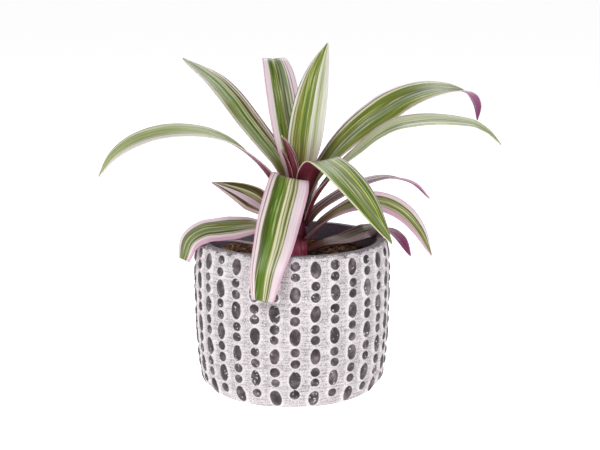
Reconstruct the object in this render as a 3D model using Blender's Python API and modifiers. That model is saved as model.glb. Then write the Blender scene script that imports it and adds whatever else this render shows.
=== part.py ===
"""A potted boat lily: a cast cement cover pot, its compost, and a striped strap-leaved plant.

Metres, +Z up. The origin is the centre of the pot's flat foot, and -Y is the plant's front.
Leaf sizes are in millimetres, measured from the stem's axis and the foot's plane.
"""
from typing import NamedTuple

import bmesh
import bpy
import numpy as np

MM = 0.001
GAP = 0.0003  # between pieces that touch
SEAM_MERGE = 0.00005  # closes a turned piece on its axis and seam

# Pot
POT_HEIGHT = 0.100
POT_MOUTH_RADIUS = 0.0565
POT_RIM_RADIUS = 0.0625
POT_BELLY_RADIUS = 0.0645
POT_LOW_RADIUS = 0.0620
POT_FOOT_RADIUS = 0.0537
POT_FOOT_ROUND = 0.0025
POT_WALL = 0.008
POT_FLOOR = 0.009
EDGE = 0.0015  # how far the rim's and the inner floor's edges are rounded
SHOULDER_TOP = 0.0975  # heights up the outer wall
SHOULDER_MIDDLE = 0.0920
SHOULDER_LOW = 0.0850
BELLY_LOW = 0.0700
BELLY_UNDER = 0.0450
LOW_HEIGHT = 0.0180
FOOT_BEND = 0.0070
FOOT_TOP = 0.0015
INNER_MIDDLE = 0.0550  # height where the inner wall stops sloping
POT_STEPS = 64

# Compost
COMPOST_TOP = 0.088
COMPOST_RISE = 0.0010  # the middle above the edge
COMPOST_MIDDLE_RADIUS = 0.020
COMPOST_SHOULDER_RADIUS = 0.040
COMPOST_WALL_GAP = 0.0012  # the pot's wall is drawn in by EDGE below its mouth
COMPOST_STEPS = 48

# Stem
STEM_X = 0.004
STEM_FOOT = 0.074
STEM_NECK = 0.110
STEM_CROWN = 0.1325
STEM_FOOT_RADIUS = 0.0065
STEM_NECK_RADIUS = 0.0052
STEM_CROWN_RADIUS = 0.0032
STEM_ROUND = 0.001  # at both ends
STEM_STEPS = 24

# Leaves
LEAF_THICKNESS = 0.0011
LEAF_FOOT_GAP = 0.0006  # a flat-sided foot on a round stem
LEAF_STATIONS = 16
LEAF_STRIPS = 4
LEAF_TIP_HALF_WIDTH = 0.5
TIGHTEST_FOLD = 1.3  # radius
ROLL_START = 0.12  # of the length, where the first of the three rolls is reached
CLASP_SHARE = 0.3  # of the length, over which a clasping foot opens into the blade
CURVE_SAMPLES = 400


class Leaf(NamedTuple):
    """One leaf: where its midrib runs and how its blade lies about it, in mm and degrees."""
    name: str
    heading: float  # of the midrib in plan, 0 along +X and 90 along +Y
    foot: float  # height where it leaves the stem
    path: tuple  # (reach from the stem's axis, drift to the leaf's left, height) along the midrib
    half_width: float
    base_half_width: float
    widest: float = 0.4  # share of the length where the blade is widest
    taper: float = 2.0  # high for a blunt end, low for a drawn-out one
    tip_half_width: float = LEAF_TIP_HALF_WIDTH
    clasp: float = 45.0  # how far each edge wraps up at the base
    cup: float = 12.0  # and along the blade
    roll: tuple = (0.0, 0.0, 0.0)  # about the midrib, at the base, the middle and the tip


LEAVES = (
    Leaf("leaf_lower_right", 16, 90, ((20, 0, 94), (34, 0, 97), (48, 0, 101), (60, 0, 103.5),
         (71, 0, 96.5), (79.8, 0, 83)), 10.5, 6.0, roll=(0, 15, -45)),
    Leaf("leaf_inner_left", 178, 91, ((18, 0, 93), (30, 0, 95), (42, 0, 97), (52, 0, 97)), 5.0,
         4.0),
    Leaf("leaf_back_low", 94, 94, ((18, 0, 101), (34, 0, 107), (52, 0, 109), (68, 0, 105),
         (80, 0, 96)), 8.5, 4.0),
    Leaf("leaf_lower_left", 196, 97, ((16, 0, 105.4), (29, 0, 108.6), (43, 0, 108.3),
         (54, 0, 107.7), (63.5, 0, 106.8), (71.6, 0, 102.4), (77, 0, 89.3)), 10.8, 6.0, taper=3.0,
         tip_half_width=5.0, roll=(0, -35, -35)),
    Leaf("leaf_right_mid", -8, 99, ((13, 0, 106.6), (24, 0, 116.2), (37, 0, 123), (51, 0, 125.4),
         (61, 0, 123.2), (70.4, 0, 117.8), (79.2, 0, 108.2), (88.6, 0, 90.5)), 10.0, 7.5,
         widest=0.5, roll=(8, 28, 40)),
    Leaf("leaf_back_left", 104, 103, ((14, 0, 112), (28, 0, 119), (44, 0, 122), (60, 0, 120),
         (76, 0, 113), (88, 0, 103)), 8.5, 4.0),
    Leaf("leaf_right_thin", 28, 107, ((13, 0, 115), (24, 0, 122.5), (38, 0, 129), (54, 0, 133.7),
         (72, 0, 135), (90, 0, 129.5), (103.5, 0, 118)), 8.6, 6.0, widest=0.5),
    Leaf("leaf_left_short", 165, 106, ((14, 0, 112.8), (25, 0, 120.2), (33, 0, 125), (42, 0, 129),
         (51, 0, 132), (60, 0, 134.5)), 11.4, 5.5, roll=(0, -35, -20)),
    Leaf("leaf_back_right", 84, 110, ((14, 0, 118), (28, 0, 125), (44, 0, 128), (60, 0, 126),
         (76, 0, 119), (90, 0, 108)), 9.0, 4.0),
    Leaf("leaf_right_second", -6, 112, ((11, 0, 125), (19, 0, 137.5), (30, 0, 150), (41, 0, 159.5),
         (52, 0, 169), (64, 0, 175.5), (77, 0, 178.3), (102, 0, 179), (115, 0, 177), (124, 0, 172),
         (132, 0, 164)), 11.3, 5.3, roll=(0, 15, 24)),
    Leaf("leaf_left_arch", 187, 113, ((10, 0, 127), (16, 0, 137.5), (25, 0, 149), (36, 0, 159),
         (47, 0, 166), (58, 0, 170), (71, 0, 171.9), (82, 0, 171.9), (96, 0, 169.7),
         (109, 0, 164.7), (121, 0, 156), (130, 0, 143.5)), 10.6, 3.6, taper=3.2, clasp=24.0,
         roll=(22, -12, -36)),
    Leaf("leaf_front_fold", -103, 117.5, ((10, 0, 131), (16, 0, 141), (22, 0, 143), (31, 0, 136.5),
         (46, -1.2, 121), (60, -1.8, 106), (70, -4, 90), (73, -5.5, 74)), 14.0, 3.6, taper=2.6,
         tip_half_width=7.2, roll=(-14, -10, 0)),
    Leaf("leaf_right_upper", 28, 118, ((11, 0, 134), (24, 0, 151), (35, 0, 161.6), (48, 0, 171.2),
         (63, 0, 180), (78, 0, 187.4), (95, 0, 192.4), (113, 0, 194), (127, 0, 192.5),
         (136.5, 0, 188.5), (141.5, 0, 181), (142.5, 0, 170.5)), 12.2, 5.5, taper=5.0,
         roll=(0, 34, -4)),
    Leaf("leaf_front_right", -50, 123, ((9.4, 0, 136), (14.4, 0, 146.6), (23, 0, 153.7),
         (35.8, 0, 150.8), (49.6, 0, 143.2), (64.8, 0, 132.3), (77.4, 0, 121.3), (90, 0, 110)),
         13.4, 5.5, roll=(0, 2, 10)),
    Leaf("leaf_upper_left", 142, 122, ((10, 0, 139), (16, 0, 149), (23, 0, 156), (31, 0, 163),
         (44, 0, 175), (59, 0, 189.5), (75, 0, 201.5), (89, 0, 208.4), (101, 0, 213.7)), 13.2, 5.5,
         widest=0.5, taper=2.8),
    Leaf("leaf_back_middle", 105, 127, ((10.5, 0, 145), (20, 0, 162), (32, 0, 179), (44, 0, 196),
         (54, 0, 207), (64, 0, 213), (76, -1, 211), (88, -3, 203)), 11.6, 4.5, taper=3.0, cup=8.0),
    Leaf("leaf_centre_upright", 60, 130.5, ((7, 0, 147), (12, 1, 166), (20, 1.5, 188),
         (29.5, 2, 207), (42, 1.2, 226)), 13.5, 4.0, widest=0.38, taper=2.3),
    Leaf("spear_short", 172, 131, ((5.4, 0, 142), (8, 0, 152), (11, 0, 159)), 4.0, 3.0, clasp=60.0,
         cup=80.0),
    Leaf("spear_tall", 165, 133.5, ((2.9, 0, 141), (5.5, 0, 152), (11, 0, 168)), 6.0, 4.5,
         clasp=120.0, cup=120.0),
)


def fade(share):
    """0 to 1 with a level start and end."""
    share = np.clip(share, 0.0, 1.0)
    return share * share * (3.0 - 2.0 * share)


def stem_radius(height):
    """The stem's radius at a height: it tapers from the compost to the crown."""
    return np.interp(height, (COMPOST_TOP, STEM_NECK, STEM_CROWN, STEM_CROWN + GAP),
                     (STEM_FOOT_RADIUS, STEM_NECK_RADIUS, STEM_CROWN_RADIUS, STEM_CROWN_RADIUS / 2))


def smooth_curve(points, stations):
    """Evenly spaced points on a smooth curve through the given ones, and the directions there."""
    points = np.array(points, float)
    chord = np.linalg.norm(np.diff(points, axis=0), axis=1)
    knots = np.concatenate(([0.0], np.cumsum(chord)))
    slopes = np.gradient(points, knots, axis=0)
    fine = np.linspace(0.0, knots[-1], CURVE_SAMPLES)
    span = np.clip(np.searchsorted(knots, fine, side="right") - 1, 0, len(chord) - 1)
    step = chord[span][:, None]
    s = (fine - knots[span])[:, None] / step
    curve = ((2 * s**3 - 3 * s**2 + 1) * points[span] + (s**3 - 2 * s**2 + s) * step * slopes[span]
             + (3 * s**2 - 2 * s**3) * points[span + 1] + (s**3 - s**2) * step * slopes[span + 1])
    run = np.concatenate(([0.0], np.cumsum(np.linalg.norm(np.diff(curve, axis=0), axis=1))))
    even = np.linspace(0.0, run[-1], stations)
    centre = np.column_stack([np.interp(even, run, curve[:, axis]) for axis in range(3)])
    tangent = np.gradient(centre, axis=0)
    return centre, tangent / np.linalg.norm(tangent, axis=1)[:, None]


def half_widths(leaf, along):
    """Half the blade's width at each share of its length."""
    grown = leaf.base_half_width + (leaf.half_width - leaf.base_half_width) * fade(along / leaf.widest)
    beyond = np.clip((along - leaf.widest) / (1.0 - leaf.widest), 0.0, 1.0)
    return leaf.tip_half_width + (grown - leaf.tip_half_width) * (1.0 - beyond**leaf.taper)


def blade(leaf, stations, strips):
    """The blade's middle surface, as an array of stations by strips + 1 points in metres."""
    heading = np.radians(leaf.heading)
    out = np.array((np.cos(heading), np.sin(heading), 0.0))
    left = np.array((-out[1], out[0], 0.0))
    foot_reach = (stem_radius(leaf.foot * MM) + LEAF_FOOT_GAP + LEAF_THICKNESS / 2) / MM
    reach, drift, height = np.array(((foot_reach, 0.0, leaf.foot), *leaf.path)).T
    points = reach[:, None] * out + drift[:, None] * left + height[:, None] * np.array((0, 0, 1.0))
    centre, tangent = smooth_curve(points, stations)
    side = left - tangent * (tangent @ left)[:, None]
    side /= np.linalg.norm(side, axis=1)[:, None]
    upper = np.cross(tangent, side)
    along = np.linspace(0.0, 1.0, stations)
    roll = np.radians(np.interp(along, (0.0, ROLL_START, 0.5, 1.0), (0.0, *leaf.roll)))[:, None]
    side, upper = side * np.cos(roll) + upper * np.sin(roll), upper * np.cos(roll) - side * np.sin(roll)
    width = half_widths(leaf, along)
    wrap = np.radians(leaf.cup + (leaf.clasp - leaf.cup) * (1.0 - fade(along / CLASP_SHARE)))
    wrap = np.minimum(wrap, width / TIGHTEST_FOLD)
    bend = wrap / width
    across = np.linspace(-1.0, 1.0, strips + 1)
    turn = across[None, :] * wrap[:, None]
    sideways = (np.sin(turn) / bend[:, None])[..., None] * side[:, None, :]
    upward = ((1.0 - np.cos(turn)) / bend[:, None])[..., None] * upper[:, None, :]
    return (centre[:, None, :] + sideways + upward) * MM + np.array((STEM_X, 0.0, 0.0))


def collection(name):
    """A new collection in the scene."""
    made = bpy.data.collections.new(name)
    bpy.context.scene.collection.children.link(made)
    return made


def material(name, colour, roughness):
    """A plain Principled material."""
    made = bpy.data.materials.new(name)
    made.use_nodes = True
    shader = made.node_tree.nodes["Principled BSDF"]
    shader.inputs["Base Color"].default_value = (*colour, 1.0)
    shader.inputs["Roughness"].default_value = roughness
    shader.inputs["Metallic"].default_value = 0.0
    made.diffuse_color = (*colour, 1.0)
    return made


def add_object(name, mesh, look, home):
    """Link a mesh as a smooth-shaded object with its material."""
    made = bpy.data.objects.new(name, mesh)
    home.objects.link(made)
    mesh.materials.append(look)
    mesh.shade_smooth()
    return made


def turned(name, profile, steps, look, home):
    """Turn a profile of (radius, height) about Z. Its outer side runs top to bottom."""
    mesh = bpy.data.meshes.new(name)
    points = [(radius, 0.0, height) for radius, height in profile]
    mesh.from_pydata(points, [(i, i + 1) for i in range(len(points) - 1)], [])
    made = add_object(name, mesh, look, home)
    screw = made.modifiers.new("turn", "SCREW")
    screw.steps = steps
    screw.render_steps = steps
    screw.use_merge_vertices = True
    screw.merge_threshold = SEAM_MERGE
    return made


def build_pot(home):
    """The cast cement pot: straight wall, softly rounded shoulder and foot, flat rim."""
    profile = (
        (0.0, POT_FLOOR),
        (POT_FOOT_RADIUS - POT_WALL, POT_FLOOR),
        (POT_FOOT_RADIUS - POT_WALL + 2.0 * EDGE, POT_FLOOR + EDGE),
        (POT_MOUTH_RADIUS - EDGE, INNER_MIDDLE),
        (POT_MOUTH_RADIUS, POT_HEIGHT - EDGE),
        (POT_MOUTH_RADIUS + EDGE / 2.0, POT_HEIGHT),
        (POT_RIM_RADIUS - EDGE / 2.0, POT_HEIGHT),
        (POT_RIM_RADIUS + EDGE / 3.0, SHOULDER_TOP),
        (POT_BELLY_RADIUS - EDGE / 3.0, SHOULDER_MIDDLE),
        (POT_BELLY_RADIUS, SHOULDER_LOW),
        (POT_BELLY_RADIUS, BELLY_LOW),
        (POT_BELLY_RADIUS - 0.6 * EDGE, BELLY_UNDER),
        (POT_LOW_RADIUS, LOW_HEIGHT),
        (POT_LOW_RADIUS - POT_FOOT_ROUND, FOOT_BEND),
        (POT_FOOT_RADIUS + POT_FOOT_ROUND, FOOT_TOP),
        (POT_FOOT_RADIUS, 0.0),
        (0.0, 0.0),
    )
    look = material("lime washed cement", (0.60, 0.58, 0.56), 0.9)
    return turned("cement_pot", profile, POT_STEPS, look, home)


def build_compost(cutter, home):
    """The growing medium: it fills the pot to below the rim and opens round the stem."""
    floor_radius = POT_FOOT_RADIUS - POT_WALL - GAP
    profile = (
        (0.0, COMPOST_TOP + COMPOST_RISE),
        (COMPOST_MIDDLE_RADIUS, COMPOST_TOP + COMPOST_RISE),
        (COMPOST_SHOULDER_RADIUS, COMPOST_TOP),
        (POT_MOUTH_RADIUS - COMPOST_WALL_GAP, COMPOST_TOP - COMPOST_RISE),
        (POT_MOUTH_RADIUS - COMPOST_WALL_GAP - COMPOST_RISE, INNER_MIDDLE),
        (floor_radius, POT_FLOOR + 2.0 * EDGE),
        (floor_radius - EDGE, POT_FLOOR + GAP),
        (0.0, POT_FLOOR + GAP),
    )
    look = material("bark and peat compost", (0.055, 0.035, 0.022), 0.95)
    compost = turned("potting_compost", profile, COMPOST_STEPS, look, home)
    hole = compost.modifiers.new("stem hole", "BOOLEAN")
    hole.operation = "DIFFERENCE"
    hole.object = cutter
    return compost


def build_stem_cutter(home):
    """The hole in the compost that the stem stands in."""
    mesh = bpy.data.meshes.new("stem_hole")
    shape = bmesh.new()
    bmesh.ops.create_cone(shape, cap_ends=True, segments=STEM_STEPS, radius1=STEM_FOOT_RADIUS + GAP,
                          radius2=STEM_FOOT_RADIUS + GAP, depth=2.0 * (COMPOST_TOP - STEM_FOOT + GAP))
    shape.to_mesh(mesh)
    shape.free()
    cutter = bpy.data.objects.new("stem_hole", mesh)
    home.objects.link(cutter)
    cutter.location = (STEM_X, 0.0, COMPOST_TOP)
    cutter.hide_render = True
    cutter.display_type = "WIRE"
    return cutter


def build_stem(home):
    """The short stem, from its foot in the compost to the crown."""
    profile = (
        (0.0, STEM_CROWN),
        (STEM_CROWN_RADIUS - STEM_ROUND, STEM_CROWN),
        (STEM_CROWN_RADIUS, STEM_CROWN - STEM_ROUND),
        (STEM_NECK_RADIUS, STEM_NECK),
        (STEM_FOOT_RADIUS, COMPOST_TOP),
        (STEM_FOOT_RADIUS, STEM_FOOT + STEM_ROUND),
        (STEM_FOOT_RADIUS - STEM_ROUND, STEM_FOOT),
        (0.0, STEM_FOOT),
    )
    look = material("magenta stem", (0.36, 0.05, 0.13), 0.5)
    return turned("plant_stem", profile, STEM_STEPS, look, home)


def build_leaf(leaf, look, home):
    """A leaf: a grid laid on the blade's surface and given its thickness."""
    mesh = bpy.data.meshes.new(leaf.name)
    grid = bmesh.new()
    bmesh.ops.create_grid(grid, x_segments=LEAF_STRIPS, y_segments=LEAF_STATIONS - 1, size=1.0)
    surface = blade(leaf, LEAF_STATIONS, LEAF_STRIPS)
    for vert in grid.verts:
        station = round((vert.co.y + 1.0) / 2.0 * (LEAF_STATIONS - 1))
        strip = round((vert.co.x + 1.0) / 2.0 * LEAF_STRIPS)
        vert.co = surface[station, strip]
    grid.to_mesh(mesh)
    grid.free()
    made = add_object(leaf.name, mesh, look, home)
    solid = made.modifiers.new("thickness", "SOLIDIFY")
    solid.thickness = LEAF_THICKNESS
    solid.offset = 0.0
    return made


def main():
    """Clear the scene, then build the pot, the compost, the stem and every leaf."""
    for old in list(bpy.data.objects):
        bpy.data.objects.remove(old)
    home = collection("potted_boat_lily")
    build_pot(home)
    build_compost(build_stem_cutter(collection("cutters")), home)
    stem = build_stem(home)
    stem.location.x = STEM_X
    look = material("striped leaf", (0.24, 0.36, 0.12), 0.5)
    for leaf in LEAVES:
        build_leaf(leaf, look, home)


main()
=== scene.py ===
"""Potted boat lily: the finished look of every piece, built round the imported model.

Laid out as an add-on and run as a script. Each operator makes one piece or a group of like
pieces, and the panel lists them in the order in which they are made.
"""
import math
import random
from typing import NamedTuple

import bmesh
import bpy
import numpy as np
from bpy.props import FloatProperty, FloatVectorProperty, IntProperty, PointerProperty
from mathutils import Euler, Matrix, Vector, noise


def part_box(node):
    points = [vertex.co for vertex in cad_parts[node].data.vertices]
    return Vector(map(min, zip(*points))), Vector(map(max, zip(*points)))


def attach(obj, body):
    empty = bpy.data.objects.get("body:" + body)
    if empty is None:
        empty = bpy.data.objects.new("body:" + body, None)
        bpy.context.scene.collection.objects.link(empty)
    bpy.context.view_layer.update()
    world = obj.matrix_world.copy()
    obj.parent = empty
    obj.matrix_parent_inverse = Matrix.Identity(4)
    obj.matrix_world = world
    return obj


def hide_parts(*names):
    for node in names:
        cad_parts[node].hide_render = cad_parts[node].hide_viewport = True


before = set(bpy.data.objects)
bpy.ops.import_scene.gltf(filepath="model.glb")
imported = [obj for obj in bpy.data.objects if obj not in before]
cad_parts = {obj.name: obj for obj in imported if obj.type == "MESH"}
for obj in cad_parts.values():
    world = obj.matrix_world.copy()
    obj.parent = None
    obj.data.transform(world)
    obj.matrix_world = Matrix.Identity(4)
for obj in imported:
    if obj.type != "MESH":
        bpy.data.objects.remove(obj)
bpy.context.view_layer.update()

bl_info = {
    "name": "Potted boat lily",
    "version": (1, 0, 0),
    "blender": (4, 5, 0),
    "location": "3D View > Sidebar > Boat Lily",
    "description": "Builds a striped boat lily in a beaded, lime washed cement pot",
    "category": "Object",
}

MM = 0.001


# Colours and nodes

def linear(hex_colour):
    """An sRGB hex colour as linear red, green and blue, with full alpha."""
    shares = [int(hex_colour[i:i + 2], 16) / 255 for i in (0, 2, 4)]
    values = [s / 12.92 if s <= 0.04045 else ((s + 0.055) / 1.055) ** 2.4 for s in shares]
    return (*values, 1.0)


def per(spacing):
    """A pattern's scale, from the real distance between its marks in millimetres."""
    return 1.0 / (spacing * MM)


def add_node(tree, kind, inputs=None, **settings):
    """Add a shader node. An input is a value, or another node's output to link."""
    made = tree.nodes.new("ShaderNode" + kind)
    for name, value in settings.items():
        setattr(made, name, value)
    for socket, value in (inputs or {}).items():
        if isinstance(value, bpy.types.NodeSocket):
            tree.links.new(value, made.inputs[socket])
        else:
            made.inputs[socket].default_value = value
    return made


def new_material(name):
    """A node material with its Principled shader."""
    made = bpy.data.materials.new(name)
    made.use_nodes = True
    return made, made.node_tree, made.node_tree.nodes["Principled BSDF"]


def set_ramp(ramp, stops, interpolation="LINEAR"):
    """Give a colour ramp its stops, as (place, linear colour) in order."""
    ramp.interpolation = interpolation
    while len(ramp.elements) > 1:
        ramp.elements.remove(ramp.elements[-1])
    ramp.elements[0].position = stops[0][0]
    ramp.elements[0].color = stops[0][1]
    for place, colour in stops[1:]:
        ramp.elements.new(place).color = colour


# Settings

class PotSettings(bpy.types.PropertyGroup):
    """Sizes and colours of the cement pot."""
    bead_columns: IntProperty(
        name="Bead columns", description="Columns of beads round the pot", default=31, min=4)
    bead_height: FloatProperty(
        name="Bead height", description="How far a bead stands out of the wall",
        default=2.1 * MM, unit="LENGTH")
    wash: FloatVectorProperty(
        name="Lime wash", description="Colour of the wash over the cement", subtype="COLOR",
        default=linear("dfd9db")[:3])
    cement: FloatVectorProperty(
        name="Cement", description="Colour of the bare pigmented cement", subtype="COLOR",
        default=linear("463e41")[:3])


class CompostSettings(bpy.types.PropertyGroup):
    """The growing medium."""
    chips: IntProperty(
        name="Bark chips", description="Loose chips on the surface", default=900, min=0)
    chip_length: FloatProperty(
        name="Chip length", description="Length of the largest chips", default=5.0 * MM,
        unit="LENGTH")
    fibres: IntProperty(
        name="Fibres", description="Torn strands of bark among the chips", default=350, min=0)
    fibre_length: FloatProperty(
        name="Fibre length", description="Length of the longest strands", default=11.0 * MM,
        unit="LENGTH")


class LeafSettings(bpy.types.PropertyGroup):
    """What all the leaves share."""
    thickness: FloatProperty(
        name="Thickness", description="Thickness of a blade at its midrib", default=1.1 * MM,
        unit="LENGTH")
    ripple: FloatProperty(
        name="Ripple", description="How far a blade's margins wave", default=0.5 * MM,
        unit="LENGTH")
    underside: FloatVectorProperty(
        name="Underside", description="Colour of the leaves' backs", subtype="COLOR",
        default=linear("8a3c70")[:3])


class StageSettings(bpy.types.PropertyGroup):
    """Floor, light and camera."""
    floor: FloatVectorProperty(
        name="Floor", description="Colour of the floor", subtype="COLOR",
        default=linear("f6f5f5")[:3])
    glow: FloatProperty(
        name="Glow", description="Light from under the floor", default=0.72, min=0.0)
    key: FloatProperty(
        name="Key light", description="Power of the large soft light", default=14.0, min=0.0)
    sky: FloatProperty(
        name="Sky", description="Strength of the light from all round", default=0.28, min=0.0)


# Shapes that several pieces share

def fade(share):
    """Ease a share from 0 to 1, with a level start and end."""
    share = np.clip(share, 0.0, 1.0)
    return share * share * (3.0 - 2.0 * share)


def smooth_curve(points, stations, samples=400):
    """Evenly spaced points on a smooth curve through the given ones, and the directions there."""
    points = np.array(points, float)
    chord = np.linalg.norm(np.diff(points, axis=0), axis=1)
    knots = np.concatenate(([0.0], np.cumsum(chord)))
    slopes = np.gradient(points, knots, axis=0)
    fine = np.linspace(0.0, knots[-1], samples)
    span = np.clip(np.searchsorted(knots, fine, side="right") - 1, 0, len(chord) - 1)
    step = chord[span][:, None]
    s = (fine - knots[span])[:, None] / step
    curve = ((2 * s**3 - 3 * s**2 + 1) * points[span] + (s**3 - 2 * s**2 + s) * step * slopes[span]
             + (3 * s**2 - 2 * s**3) * points[span + 1] + (s**3 - s**2) * step * slopes[span + 1])
    run = np.concatenate(([0.0], np.cumsum(np.linalg.norm(np.diff(curve, axis=0), axis=1))))
    even = np.linspace(0.0, run[-1], stations)
    centre = np.column_stack([np.interp(even, run, curve[:, axis]) for axis in range(3)])
    tangent = np.gradient(centre, axis=0)
    return centre, tangent / np.linalg.norm(tangent, axis=1)[:, None]


def wave_noise(x, y, z, seed):
    """Smooth noise from -1 to 1 at arrays of places."""
    flat = zip(np.ravel(x), np.ravel(y), np.ravel(z))
    values = [noise.noise(Vector((a + seed, b - seed, c))) for a, b, c in flat]
    return np.array(values).reshape(np.shape(x))


def tube_mesh(name, rings):
    """A closed mesh through rings of points. The first and last rings shrink to a point."""
    mesh = bpy.data.meshes.new(name)
    count = rings.shape[1]
    middle = rings[1:-1].reshape(-1, 3)
    verts = [rings[0, 0], *middle, rings[-1, 0]]
    last = len(verts) - 1
    faces = [(0, 1 + i, 1 + (i + 1) % count) for i in range(count)]
    for row in range(len(rings) - 3):
        low, high = 1 + row * count, 1 + (row + 1) * count
        faces += [(low + i, high + i, high + (i + 1) % count, low + (i + 1) % count)
                  for i in range(count)]
    top = 1 + (len(rings) - 3) * count
    faces += [(last, top + (i + 1) % count, top + i) for i in range(count)]
    mesh.from_pydata([tuple(v) for v in verts], [], faces)
    mesh.shade_smooth()
    return mesh


def ring_values(rings):
    """Values laid out as rings, in the order of tube_mesh's points."""
    return np.concatenate((rings[:1, 0], rings[1:-1].reshape(-1, *rings.shape[2:]), rings[-1:, 0]))


def store(mesh, name, values):
    """Keep a vector for each point of a mesh under a name."""
    layer = mesh.attributes.new(name, "FLOAT_VECTOR", "POINT")
    layer.data.foreach_set("vector", np.ascontiguousarray(values, np.float32).ravel())


def add_piece(name, mesh, slot, *replaced):
    """Link a mesh as a piece of the pot's one body."""
    piece = bpy.data.objects.new(name, mesh)
    bpy.context.scene.collection.objects.link(piece)
    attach(piece, "root")
    if replaced:
        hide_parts(*replaced)
    return piece


# The cement pot. Its ovals and dots stand out of one cast wall, so they are one mesh with it

POT_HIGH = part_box("cement_pot")[1]
POT_HEIGHT = POT_HIGH.z
POT_RADIUS = POT_HIGH.x
POT_AROUND = 576
WALL_ROWS = 128
WALL_SET_BACK = 1.1 * MM  # the wall between the beads, inside the model's outline
MOUTH_RADIUS = 56.5 * MM
MOUTH_ROUND = (0.4 * MM, 0.3 * MM)  # width and depth of the rounding at the mouth
RIM_STEPS = (0.15, 0.35, 0.6, 0.8, 0.93)  # shares of the way across the rim
INNER_DEPTHS = (1.2, 2.5, 4.5, 7.0, 10.0, 14.0, 40.0)  # rows down the inner wall, in mm
INNER_DRAFT = 0.02  # the inner wall leans in by this share of the depth
INNER_MARK = 8.0 * MM  # tells the inner wall from the rim in the material
FLOOR_HEIGHT = 9.0 * MM
FLOOR_FLAT = 0.80  # of the mouth's radius
FLOOR_MARK = 100.0 * MM
UNEVEN = 0.16 * MM  # the cast wall's slow waves
UNEVEN_INSIDE = 0.4  # of the waves outside
WAVES = (120.0, 160.0)  # per metre, round the wall and up it
# Height and radius up the wall, as shares of the pot's
WALL_OUTLINE = (
    (0.0, 0.832), (0.004, 0.858), (0.020, 0.888), (0.07, 0.928), (0.18, 0.962), (0.32, 0.982),
    (0.45, 0.992), (0.70, 1.0), (0.847, 1.0), (0.918, 0.992), (0.960, 0.982), (0.985, 0.972),
    (0.997, 0.957), (1.0, 0.942))
OVAL = (3.55 * MM, 5.65 * MM)  # half width and half height
DOT = (3.1 * MM, 3.05 * MM)
PATTERN_PITCH = 28.1 * MM  # from oval to oval down a column
DOTS_BELOW_OVAL = (10.1 * MM, 17.4 * MM)
FIRST_OVAL = (23.3 * MM, 8.0 * MM)  # below the rim, in even and odd columns
FIRST_COLUMN = math.radians(-273.8)
LOWEST_BEAD = 4.5 * MM
BEAD_SCALE = (0.93, 1.06)
BEAD_STRAY = (0.25 * MM, 0.35 * MM)  # sideways and up
BEAD_TILT = 9.0  # degrees
BEAD_ROUNDNESS = 0.45
RIM_CLEAR = 0.8  # of a bead's half height
BEAD_FLANK = 1.22  # the wash covers a bead's flank, from 1 to this ellipse distance
NO_BEAD = 3.0  # an ellipse distance well outside any bead


def pot_rows():
    """Rows of (radius, height, distance below the rim's outer edge) from foot to inner floor."""
    outline = [(share_r * POT_RADIUS, 0.0, share_z * POT_HEIGHT) for share_z, share_r in WALL_OUTLINE]
    wall, _ = smooth_curve(outline, WALL_ROWS, samples=2000)
    rows = [(0.0, 0.0, POT_HEIGHT)]
    rows += [(share * wall[0, 0], 0.0, POT_HEIGHT) for share in (0.5, 0.9)]
    rows += [(x, z, POT_HEIGHT - z) for x, _, z in wall]
    rim_edge = wall[-1, 0]
    for share in RIM_STEPS:
        rows.append((rim_edge + (MOUTH_RADIUS + MOUTH_ROUND[0] - rim_edge) * share, POT_HEIGHT,
                     (MOUTH_RADIUS - rim_edge) * share))
    rows.append((MOUTH_RADIUS, POT_HEIGHT - MOUTH_ROUND[1], MOUTH_RADIUS - rim_edge))
    for depth in INNER_DEPTHS:
        rows.append((MOUTH_RADIUS - depth * INNER_DRAFT * MM, POT_HEIGHT - depth * MM,
                     -INNER_MARK - depth * MM))
    rows += [(share * MOUTH_RADIUS, FLOOR_HEIGHT, -FLOOR_MARK) for share in (FLOOR_FLAT, 0.0)]
    return np.array(rows)


def bead_list(columns, dice):
    """Each bead as (angle, height, half width, half height, tilt, seed).

    A column repeats an oval and two dots, and its neighbours start at another height.
    """
    beads = []
    for column in range(columns):
        angle = FIRST_COLUMN + column * 2.0 * math.pi / columns
        oval = FIRST_OVAL[column % 2] - PATTERN_PITCH
        while oval < POT_HEIGHT:
            for below, size in ((0.0, OVAL), (DOTS_BELOW_OVAL[0], DOT), (DOTS_BELOW_OVAL[1], DOT)):
                height = POT_HEIGHT - oval - below + dice.uniform(-1.0, 1.0) * BEAD_STRAY[1]
                scale = dice.uniform(*BEAD_SCALE)
                tilt = math.radians(dice.uniform(-BEAD_TILT, BEAD_TILT))
                turn = angle + dice.uniform(-1.0, 1.0) * BEAD_STRAY[0] / POT_RADIUS
                seed = dice.random()
                if LOWEST_BEAD < height < POT_HEIGHT - size[1] * RIM_CLEAR:
                    beads.append((turn, height, size[0] * scale, size[1] * scale, tilt, seed))
            oval += PATTERN_PITCH
    return beads


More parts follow.
